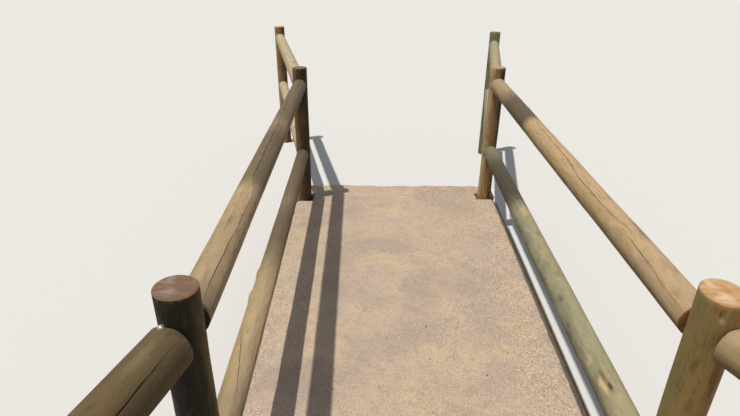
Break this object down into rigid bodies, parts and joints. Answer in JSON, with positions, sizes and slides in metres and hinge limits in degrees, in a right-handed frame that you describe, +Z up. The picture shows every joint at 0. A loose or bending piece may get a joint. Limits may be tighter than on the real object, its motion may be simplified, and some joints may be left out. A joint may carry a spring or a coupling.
{
  "type": "timber footbridge with log parapets",
  "caption": "Small footbridge of round logs: gravel footway on planks and log bearers, between two post-and-rail parapets that flare outwards at both ends.",
  "frame": {"origin": "middle of the whole object in plan, on the level ground that its feet stand on", "axes": "+Y along the footway to its far end, +X across it to the right, +Z up"},
  "size_m": [2.5539, 7.305, 1.3052],
  "materials": {
    "post_left": "weathered round pine, peeled, dark brown-olive, matt",
    "post_right": "weathered round pine, peeled, olive-green with rusty streaks, matt",
    "top_rail_left": "weathered round pine, peeled, olive-tan with grey, long drying checks, matt",
    "top_rail_right": "weathered round pine, peeled, warm tan, long drying checks, matt",
    "lower_rail_left": "weathered round pine, peeled, pale yellow-tan, matt",
    "lower_rail_right": "weathered round pine, peeled, grey-green with knots, matt",
    "bearer": "round pine log, hewn flat on top, matt",
    "bed_log": "half-round pine log, rough, matt",
    "plank": "rough-sawn pine plank, greyed, matt",
    "gravel": "compacted sandy gravel, loose grit, matt",
    "galvanised_steel": "hot-dip galvanised, dull spangle"
  },
  "bodies": {
    "root": {"post_left_1": "post_left", "post_left_2": "post_left", "post_left_3": "post_left", "post_left_4": "post_left", "top_rail_left_far": "top_rail_left", "lower_rail_left_far": "lower_rail_left", "top_rail_left_span": "top_rail_left", "lower_rail_left_span": "lower_rail_left", "top_rail_left_near": "top_rail_left", "lower_rail_left_near": "lower_rail_left", "post_right_1": "post_right", "post_right_2": "post_right", "post_right_3": "post_right", "post_right_4": "post_right", "top_rail_right_far": "top_rail_right", "lower_rail_right_far": "lower_rail_right", "top_rail_right_span": "top_rail_right", "lower_rail_right_span": "lower_rail_right", "top_rail_right_near": "top_rail_right", "lower_rail_right_near": "lower_rail_right", "bearer_left": "bearer", "bearer_middle": "bearer", "bearer_right": "bearer", "bed_log_far": "bed_log", "bed_log_near": "bed_log", "deck_planks": "plank", "gravel_surface": "gravel", "post_bolts": "galvanised_steel"}
  },
  "joints": []
}
